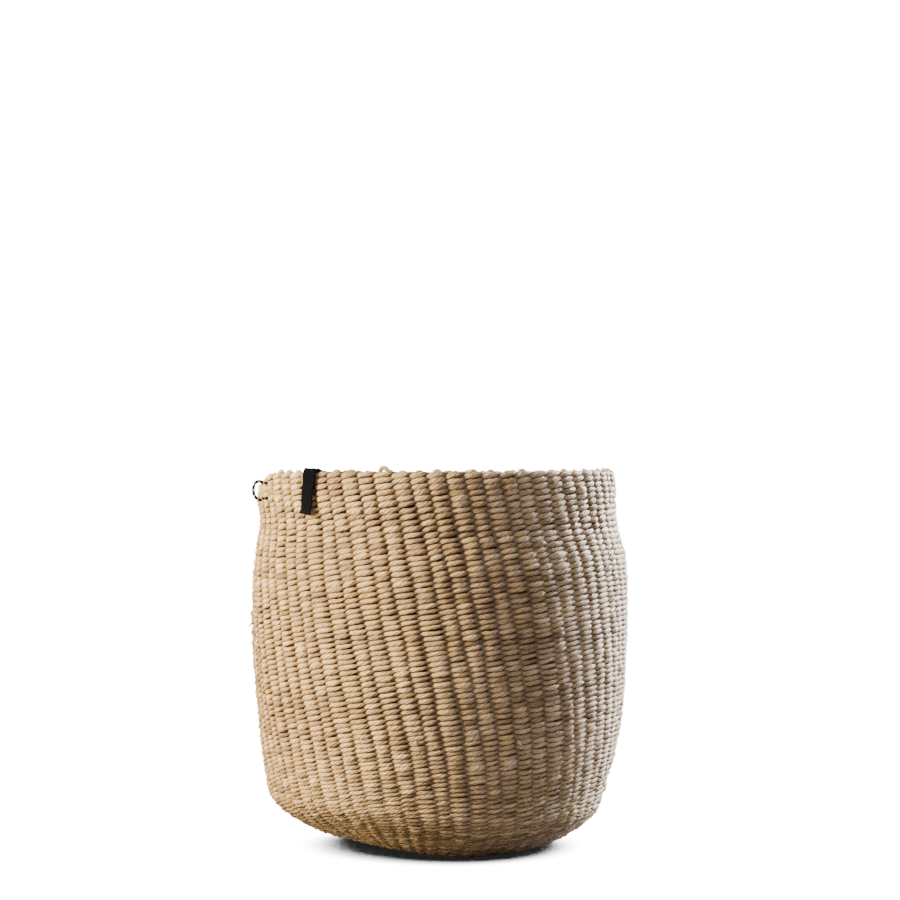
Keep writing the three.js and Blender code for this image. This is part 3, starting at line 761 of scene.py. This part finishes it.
def cutEnd(angle, along, rng, settings):
    # where a strand was spliced: three paper tips that come out between two rows by reach * sin(curl * t),
    # spread and fall
    tips = []
    for spread in settings["spreads"]:
        t = np.linspace(0.0, 1.0, settings["points"])
        fall = rng.uniform(*settings["fall"]) * smoothStep(t, settings["fallsFrom"], 1.0)
        depth = settings["depth"] - rng.uniform(*settings["reach"]) * np.sin(settings["curl"] * t)
        side = spread * t + rng.uniform(-settings["stray"], settings["stray"]) * t * t
        path = smoothPath(placeInWall(along - fall, angle, depth, side), settings["spacing"])
        taper = 1 - settings["narrows"] * np.linspace(0, 1, len(path)) ** 2
        tips.append(tube(path, upright, settings["thick"] * taper, settings["tall"] * taper,
                         settings["sides"], settings["lobe"]))
    return tips


def paintedShadeOf(part, settings):
    # painted shade where the strand goes in (less on its crest), on the half of it that faces the stakes, and
    # where rows meet, most of all in the heel: the most of the three at each point of the section
    around = anglesRound(settings["sides"])[None]
    gap, side, seam = (part[key][:, None] for key in ("gap", "side", "seam"))
    hidden = np.clip(-settings["hiddenSteepness"] * side * np.cos(around) - settings["hiddenFrom"], 0, 1)
    crest = np.clip(np.sign(side) * np.cos(around), 0, 1)
    goingIn = gap * (1 - (settings["crestLighter"] + settings["seamCrestLighter"] * seam) * crest)
    meeting = seam * np.sin(around) ** 2 / settings["seamSoftness"]
    return np.maximum(np.maximum(hidden, meeting), goingIn).reshape(-1)


def makeWeft(settings, material):
    # each strand in bands that overlap by a point, with the cut ends that fall in the band
    table = windings(settings)
    rng = np.random.default_rng(settings["seed"])
    for which, letter in enumerate("AB"):
        strand = strandShape(settings, table, which)
        for band, (low, high, zones) in bandEdges.items():
            inside = np.flatnonzero((strand["row"] >= low) & (strand["row"] < high))
            first, last = inside[0], min(inside[-1] + 2, len(strand["row"]))
            part = {key: values[first:last] for key, values in strand.items()}
            creased = rng.normal(0, settings["creased"], (last - first, settings["sides"]))
            shape = tube(part["centres"], part["outs"], part["thick"], part["tall"], settings["sides"],
                         settings["lobe"], settings["twist"], creased)
            tips = [tip for angle, along in settings["cutEnds"][which::2] if low <= along < high
                    for tip in cutEnd(np.radians(angle), along, rng, cutTips)]
            extra = sum(len(tip["points"]) for tip in tips)
            tipTones = np.full(extra, cutTips["tone"])
            marks = {"tone": np.append(np.repeat(part["tone"], settings["sides"]), tipTones),
                     "gap": np.append(paintedShadeOf(part, settings), np.zeros(extra))}
            nodes = [f"{zone}_weft_{face}" for zone in zones for face in ("outer", "inner")]
            buildPiece(f"weft{letter}_{band}", [shape, *tips], material, "basket", nodes, marks)
    print("weft wound, turns:", round(float((table[1][-1] - table[1][0]) / (2 * np.pi)), 1))


makeWeft(weft, kraftCord)


# Stakes: 32 cords folded in the base, whose 64 legs stand in the wall and end in hairpins at the rim. The
# stations are the arc lengths that a leg's route has points at.
stakes = {
    "half": 0.00185, "flattens": 0.7, "thinnest": 0.5, "lobe": 0.05, "sides": 10, "spacing": 0.0009,
    "seed": 5,
    "sets": ("centre_stake", "first_added_stake", "second_added_stake", "third_added_stake"),
    "stations": (0.076, 0.094, 0.108, 0.122, 0.136, 0.150, 0.200, 0.250, 0.300, 0.345, 0.372),
    "stationsClear": 0.010, "partsBefore": 0.004, "partedAfter": 0.008,
    "foldInset": 0.0026, "foldSide": 0.25, "foldRun": 0.004,
    "centrePairs": ((0, 3), (7, 4), (1, 6), (2, 5)), "crossingReach": 0.0093, "crossingHalf": 0.0062,
    "crossingThin": 0.56, "crossingLayer": 0.0011, "crossingCloser": 0.0007,
    "hairpinHalf": 0.0021, "hairpinTail": 0.022, "archHalf": 0.0027, "archLift": 0.0019,
    "archFrom": 0.008, "archShoulder": 0.5,
    "rise": -0.0018, "riseWave": 0.0008, "riseTurn": 2.4, "tallColumn": 45, "tallRise": 0.0013,
    "labelColumns": (40, 41), "labelRise": -0.0024,
    "closeRings": 0.052, "wideRings": 4,
    "weaveFrom": (0.004, 0.010), "weaveTo": (-0.004, -0.001),
    "toneWave": 0.10, "toneEvery": 9, "toneStart": 6, "toneSpread": 0.06,
}


def hairpinRise(column, settings):
    # one hairpin stands tall and those under the label are low; the rest go by
    # rise + wave * sin(turn * column)
    if column == settings["tallColumn"]:
        return settings["tallRise"]
    if column in settings["labelColumns"]:
        return settings["labelRise"]
    return settings["riseWave"] * np.sin(settings["riseTurn"] * column) + settings["rise"]


def legRoute(stage, index, settings):
    # rows of arc length, angle and side, from the fold out to the tail of the hairpin. The last array that
    # comes back holds the share of the thickness and the arc length.
    rows = []
    angle = legAngle(stage, index)
    radius = stages["radius"]
    if stage > 0:
        # the two legs of a fold start a little towards each other
        half = radius[stage] * np.sin(columnAngle * 2 ** (lastStage - stage) / 2)
        inwards = 1 if index % 4 == 1 else -1
        rows.append((radius[stage], angle, settings["foldSide"] * half * inwards))
        rows.append((radius[stage] + settings["foldRun"], angle, 0.0))
    number = index
    for later in range(stage + 1, lastStage + 1):
        # pairs of legs part to let two new legs in between them
        rows.append((radius[later] - settings["partsBefore"], angle, 0.0))
        number = 4 * (number // 2) + (3 if number % 2 else 0)
        angle = legAngle(later, number)
        rows.append((radius[later] + settings["partedAfter"], angle, 0.0))
    clear = radius[lastStage] + settings["stationsClear"]
    rows += [(station, angle, 0.0) for station in settings["stations"] if station > clear]
    half, arch = settings["hairpinHalf"], settings["archHalf"]
    shoulder = settings["archShoulder"] * arch
    top = rimAt + hairpinRise(number, settings)
    over = top + settings["archLift"]
    foot = rimAt - settings["archFrom"]
    rows += [(form["rimBand"], angle, -half), (foot, angle, -half), (top, angle, -arch),
             (over, angle, -shoulder), (over, angle, shoulder), (top, angle, arch), (foot, angle, half),
             (rimAt - settings["hairpinTail"], angle, half)]
    rows = np.array(rows)
    turned = rows[:, 1] + leanAt(rows[:, 0]) + form["columnStart"]
    points = placeInWall(rows[:, 0], turned, form["stakeDepth"], rows[:, 2])
    return points, outOf(rows[:, 0], turned), np.stack([np.ones(len(rows)), rows[:, 0]], axis=1)


def foldRoute(stage, index, settings):
    # the fold's own point, midway between its two legs
    along = stages["radius"][stage] - settings["foldInset"]
    middle = (legAngle(stage, index) + legAngle(stage, index + 1)) / 2 + leanAt(0.0) + form["columnStart"]
    place = placeInWall(along, middle, form["stakeDepth"])
    return place[None], outOf(along, middle)[None], np.array([[1.0, along]])


def crossingRoute(start, end, over, settings):
    # a chord over or under the two stakes that cross it, drawn towards its neighbour and flattened where they
    # lie on each other
    reach = settings["crossingReach"]
    depth = form["stakeDepth"] + (1 if over else -1) * settings["crossingLayer"]
    angles = np.array([legAngle(0, start), legAngle(0, end)]) + leanAt(0.0) + form["columnStart"]
    chord = reach * np.stack([np.cos(angles), np.sin(angles)], axis=1)
    near = (reach - settings["crossingHalf"]) / (2 * reach)
    flat = mix(chord[0], chord[1], np.array([0.0, near, 0.5, 1 - near, 1.0])[:, None])
    flat[1:4] -= settings["crossingCloser"] * unit(chord[0] + chord[1])
    height = np.array([form["stakeDepth"], depth, depth, depth, form["stakeDepth"]])
    thin = np.array([1.0, *[settings["crossingThin"]] * 3, 1.0])
    shares = np.stack([thin, np.zeros(5)], axis=1)
    return settle(flat[:, 0], flat[:, 1], height), np.tile(-upright, (5, 1)), shares


def closerAtEnds(at, length):
    # the rings stand closer together where the cord turns over at the rim
    near = np.minimum(at, length - at) < stakes["closeRings"]
    return near | (np.arange(len(at)) % stakes["wideRings"] == 0) | (np.arange(len(at)) == len(at) - 1)


def stakePlans(settings):
    # each stake's stage and number, with its first leg, middle and second leg
    for number, (start, end) in enumerate(settings["centrePairs"]):
        # the first two lie over the other two
        middle = crossingRoute(start, end, number < 2, settings)
        yield 0, number, legRoute(0, start, settings), middle, legRoute(0, end, settings)
    for stage in range(1, lastStage + 1):
        for number in range(2 * 2 ** stage):
            first = 4 * number + 1
            yield (stage, number, legRoute(stage, first, settings), foldRoute(stage, first, settings),
                   legRoute(stage, first + 1, settings))


def makeStakes(settings, material):
    # each stake is one cord from hairpin to hairpin: its first leg backwards, its middle and its second leg
    rng = np.random.default_rng(settings["seed"])
    folded = 0
    for stage, number, first, middle, second in stakePlans(settings):
        joined = [np.concatenate([a[::-1], b, c]) for a, b, c in zip(first, middle, second)]
        fine = smoothPath(np.concatenate(joined, axis=1), settings["spacing"], closerAtEnds)
        thin, along = np.clip(fine[:, 6], settings["thinnest"], 1.0), fine[:, 7]
        # painted shade inside the weave, and wider where it is flattened
        begins, ends = settings["weaveFrom"], [rimAt + below for below in settings["weaveTo"]]
        shadeInWeave = smoothStep(along, *begins) - smoothStep(along, *ends)
        shape = tube(fine[:, :3], unit(fine[:, 3:6]), settings["half"] * thin,
                     settings["half"] * thin ** -settings["flattens"], settings["sides"], settings["lobe"])
        wave = np.sin(np.arange(len(fine)) / settings["toneEvery"] + rng.uniform(0, settings["toneStart"]))
        tone = 0.5 + settings["toneWave"] * wave + rng.normal(0, settings["toneSpread"])
        marks = {"tone": np.repeat(tone, settings["sides"]), "gap": np.repeat(shadeInWeave, settings["sides"])}
        node = f"{settings['sets'][stage]}_{number + 1}"
        buildPiece(f"cord_{node}", [shape], material, "basket", [node], marks)
        folded += 1
    print("stakes folded:", folded)


makeStakes(stakes, stakeCord)


# Label: a black woven tape folded over the rim, with two stitches
label = {
    "angle": np.radians(226), "width": 0.0122, "thickness": 0.0007, "outside": 0.0328, "inside": 0.032,
    "standOff": 0.0004, "insideSpare": 0.0003, "fold": 0.0022, "slant": 0.0062, "turn": np.radians(17),
    "spacing": 0.0010, "acrossPoints": 12, "edgeThins": 0.55, "edgePower": 9,
    "ripple": 0.00016, "rippleAcross": 900, "rippleAlong": 55, "bend": 0.00012, "bendAlong": 130,
    "curl": 0.0011, "curlFrom": 0.15, "curlTo": 0.5, "curlAlong": 0.06,
    "stitchThread": 0.0009, "stitchLength": 0.002, "stitchDrop": 0.031, "stitchSides": (-0.0043, -0.0005),
    "stitchSpacing": 0.0004, "threadHalves": (0.35, 0.42), "threadSides": 8,
    "threadOffsets": (-0.2, -0.85, -1.0, -0.85, 0.0, 0.85, 1.0, 0.85, 0.2),
}
tapeLook = {
    "ribPitch": 0.055, "warpThreads": 26, "edgeFrom": 0.42,
    "uneven": {"Slow Scale": 60.0, "Fine Scale": 700.0, "Slow Share": 0.4, "Fine Share": 0.8,
               "Mark Share": 0.0},
    "black": ((0.0004, 0.0005, 0.0013, 1), (0.0016, 0.0018, 0.0042, 1)),
    # rib: a painted sheen on the raised threads of the weave
    "rib": (0.0026, 0.003, 0.006, 1), "ribSheenShare": 0.6, "edge": (0.0014, 0.0016, 0.003, 1), "edgeShare": 0.35,
    "edgeHeight": 1.2, "roughness": 0.9, "specular": 0.03, "bump": 0.00010,
}
threadLook = {
    "twist": {"Strands": 3.0, "Pitch": 0.12, "Shake": 0.2},
    "black": ((0.001, 0.001, 0.002, 1), (0.006, 0.006, 0.009, 1)),
    "roughness": 0.85, "specular": 0.08, "bump": 0.00008,
}


def tapeMaterial(look):
    # black rib weave, 0.5 + 0.5 * sin(rib) * sin(warp), painted lighter on its raised threads as a sheen,
    # with a firmer edge at each side and a faint specular sheen
    material, tree, shader = startMaterial("blackTape")
    across, length = readCordMap(tree)[1:]
    ribs = sineOf(tree, length, 2 * np.pi / look["ribPitch"])
    warp = sineOf(tree, across, 2 * np.pi * look["warpThreads"])
    weave = work(tree, "MULTIPLY_ADD", work(tree, "MULTIPLY", ribs, warp), 0.5, 0.5)
    fromMiddle = work(tree, "ABSOLUTE", work(tree, "SUBTRACT", across, 0.5))
    edge = work(tree, "GREATER_THAN", fromMiddle, look["edgeFrom"])
    tone = useGroup(tree, unevenTone, look["uneven"])["Tone"]
    colour = blendColours(tree, tone, *look["black"])
    # painted sheen: lighter where the rib weave is raised
    colour = blendColours(tree, work(tree, "MULTIPLY", weave, look["ribSheenShare"]), colour, look["rib"])
    colour = blendColours(tree, work(tree, "MULTIPLY", edge, look["edgeShare"]), colour, look["edge"])
    height = work(tree, "ADD", weave, work(tree, "MULTIPLY", edge, look["edgeHeight"]))
    finishSurface(tree, shader, colour, height, look)
    return material


def threadMaterial(look):
    # black in two tones, by the creases of its twist: darker in the creases, a painted shade
    material, tree, shader = startMaterial("tapeThread")
    twist = useGroup(tree, cordTwist, {"Map": readCordMap(tree)[0], **look["twist"]})
    finishSurface(tree, shader, blendColours(tree, twist["Crease"], *look["black"]), twist["Height"], look)
    return material


def makeTape(settings, material):
    # the route's columns: arc length, depth, and the share of the turn about the upright that the tape has
    near = -settings["standOff"] - settings["thickness"] / 2
    far = form["wallThickness"] + settings["standOff"] + settings["thickness"] / 2 + settings["insideSpare"]
    fold = settings["fold"]
    route = np.array([
        (rimAt - settings["outside"], near - 0.0006, -0.42), (form["rimBand"], near - 0.0002, -0.25),
        (rimAt - 0.016, near - 0.0003, -0.1), (rimAt - 0.008, near - 0.0006, 0.1),
        (rimAt + 0.3 * fold, near - 0.0012, 0.55), (rimAt + 0.75 * fold, near - 0.0006, 0.6),
        (rimAt + 0.9 * fold, near + 0.0006, 0.55), (rimAt + 0.55 * fold, near + 0.0030, 0.4),
        (rimAt + 0.2 * fold, far - 0.0038, 0.3), (rimAt - 0.15 * fold, far - 0.0010, 0.2),
        (rimAt - 0.9 * fold, far + 0.0006, 0.1), (rimAt - 0.010, far + 0.0004, 0), (form["rimBand"], far, 0),
        (rimAt - settings["inside"], far, 0)])
    drop = settings["stitchDrop"]
    radius = section(route[:, 0], route[:, 1])[0]
    share = np.clip((route[:, 0] - rimAt + drop) / drop, 0, 1)
    angle = settings["angle"] + settings["slant"] * share / radius
    turned = angle + settings["turn"] * route[:, 2]
    sideways = np.stack([-np.sin(turned), np.cos(turned), np.zeros(len(turned))], axis=1)
    points = standAt(route[:, 0], angle, route[:, 1])
    fine = smoothPath(np.concatenate([points, sideways], axis=1), settings["spacing"])
    centres, sideways = fine[:, :3], fine[:, 3:]
    outs = unit(np.cross(sideways, unit(np.gradient(centres, axis=0))))
    # the section goes out along one face and back along the other, and thins at its edges by a high power
    steps = np.linspace(-1.0, 1.0, settings["acrossPoints"])
    lift = 1 - settings["edgeThins"] * np.abs(steps) ** settings["edgePower"]
    across = np.concatenate([steps, steps[::-1]]) * settings["width"] / 2
    outOnce = np.concatenate([lift, -lift[::-1]]) * settings["thickness"] / 2
    t = np.linspace(0, 1, len(centres))[:, None]
    waving = across[None] * settings["rippleAcross"] + settings["rippleAlong"] * t
    wave = settings["ripple"] * np.sin(waving) + settings["bend"] * np.sin(settings["bendAlong"] * t)
    toEdge = smoothStep(-across[None] / settings["width"], settings["curlFrom"], settings["curlTo"])
    corner = settings["curl"] * toEdge * smoothStep(-t, -settings["curlAlong"], 0.0)
    shape = sweep(centres, outs, outOnce[None] + wave + corner, across, 0.5 + across / settings["width"])
    tape = buildPiece("foldedTape", [shape], material, "basket", ["label"])
    round(float(lengthsAlong(centres)[-1]), 4)


def makeStitches(settings, material):
    # a loop of thread through the wall: straight runs, rounded at its four corners
    thread = settings["stitchThread"]
    angle = settings["angle"]
    outer = -(settings["standOff"] + settings["thickness"] + 0.5 * thread)
    inner = form["wallThickness"] + settings["standOff"] + settings["thickness"]
    inner = inner + settings["insideSpare"] + 0.5 * thread
    depth = np.array([inner, inner, 0.5 * inner, outer, outer, outer, 0.5 * inner, inner, inner])
    radius, height = section(np.full(len(depth), rimAt - settings["stitchDrop"]), depth)
    halfOut, halfAcross = (share * thread for share in settings["threadHalves"])
    for number, side in enumerate(settings["stitchSides"], 1):
        offset = side + np.array(settings["threadOffsets"]) * settings["stitchLength"] / 2
        x = radius * np.cos(angle) - offset * np.sin(angle)
        y = radius * np.sin(angle) + offset * np.cos(angle)
        path = smoothPath(settle(x, y, np.full(len(depth), height.mean())), settings["stitchSpacing"])
        shape = tube(path, upright, halfOut, halfAcross, settings["threadSides"])
        nodes = [f"label_stitch_{number}"]
        buildPiece(f"tapeStitch{number}", [shape], material, "basket", nodes)


makeTape(label, tapeMaterial(tapeLook))
makeStitches(label, threadMaterial(threadLook))
print("label folded")


# Studio: white floor, a large warm soft light at the left, a second behind the right, a weak one above the
# front and a dim even light. Azimuth 0 is in front and 90 at the right.
studio = {
    "floorSize": 12.0, "floorTone": 0.12, "seenWhite": 18.0, "white": (1, 1, 1, 1),
    "worldLight": 0.58, "worldColour": (0.92, 1.0, 1.20, 1),
    "shadowReach": 0.042, "shadowFloor": 0.02, "shadowFrom": 0.12, "shadowTo": 0.42, "shadowSamples": 24,
    "aim": (0.0, 0.0, 0.15),
    "lights": {
        "keyLight": {"azimuth": -78, "height": 0.95, "distance": 1.7, "size": (1.1, 1.3), "power": 276.0,
                     "colour": (1.0, 0.84, 0.47)},
        "rimLight": {"azimuth": 127, "height": 0.85, "distance": 1.7, "size": (0.8, 1.1), "power": 216.0,
                     "colour": (1.0, 0.98, 0.95)},
        "topLight": {"azimuth": 15, "height": 2.0, "distance": 1.2, "size": (1.6, 1.6), "power": 11.0,
                     "colour": (1.0, 1.0, 1.0)},
    },
}


def addSoftLight(name, aim, settings):
    # the light stands at distance * (sin, -cos) of its azimuth and faces the basket's middle
    turn = np.radians(settings["azimuth"])
    distance = settings["distance"]
    place = np.array([distance * np.sin(turn), -distance * np.cos(turn), settings["height"]])
    data = bpy.data.lights.new(name, "AREA")
    data.shape = "RECTANGLE"
    data.size, data.size_y = settings["size"]
    data.energy = settings["power"]
    data.color = settings["colour"]
    lamp = bpy.data.objects.new(name, data)
    lamp.location = place
    away = place - np.array(aim)
    tip = np.arctan2(np.hypot(away[0], away[1]), away[2])
    lamp.rotation_euler = (tip, 0.0, np.arctan2(away[1], away[0]) + np.pi / 2)
    bpy.context.collection.objects.link(lamp)


def floorMaterial(settings):
    # the floor throws little light back, and where it is seen it is clean white emission, with a painted
    # contact shadow, dark by ambient occlusion, where it is covered
    material, tree, shader = startMaterial("paleFloor")
    tree.nodes.remove(shader)
    seen = addNode(tree, "ShaderNodeLightPath").outputs["Is Camera Ray"]
    plain = addNode(tree, "ShaderNodeBsdfDiffuse", None, {"Color": (*[settings["floorTone"]] * 3, 1)})
    openness = addNode(tree, "ShaderNodeAmbientOcclusion", {"samples": settings["shadowSamples"]},
                       {"Distance": settings["shadowReach"]}).outputs["AO"]
    gain = blendRange(tree, openness, settings["shadowFrom"], settings["shadowTo"], settings["shadowFloor"],
                      settings["seenWhite"], "SMOOTHSTEP")
    white = addNode(tree, "ShaderNodeEmission", None, {"Color": settings["white"], "Strength": gain})
    either = addNode(tree, "ShaderNodeMixShader", None, {0: seen, 1: plain.outputs[0], 2: white.outputs[0]})
    tree.links.new(either.outputs[0], tree.nodes["Material Output"].inputs["Surface"])
    return material


def makeFloor(settings):
    size = settings["floorSize"] / 2
    mesh = bpy.data.meshes.new("floor")
    corners = [(-size, -size, 0), (size, -size, 0), (size, size, 0), (-size, size, 0)]
    mesh.from_pydata(corners, [], [(0, 1, 2, 3)])
    floor = bpy.data.objects.new("floor", mesh)
    bpy.context.collection.objects.link(floor)
    mesh.materials.append(floorMaterial(settings))


def makeAir(settings):
    # the world's light is dim, and white where it is seen
    world = bpy.data.worlds.new("studioAir")
    world.use_nodes = True
    tree = world.node_tree
    background = tree.nodes["Background"]
    seen = addNode(tree, "ShaderNodeLightPath").outputs["Is Camera Ray"]
    extra = work(tree, "MULTIPLY", seen, settings["seenWhite"] - settings["worldLight"])
    strength = work(tree, "ADD", settings["worldLight"], extra)
    tone = blendColours(tree, seen, settings["worldColour"], settings["white"])
    tree.links.new(tone, background.inputs["Color"])
    tree.links.new(strength, background.inputs["Strength"])
    bpy.context.scene.world = world


makeFloor(studio)
makeAir(studio)
for name, light in studio["lights"].items():
    addSoftLight(name, studio["aim"], light)
print("studio lit")
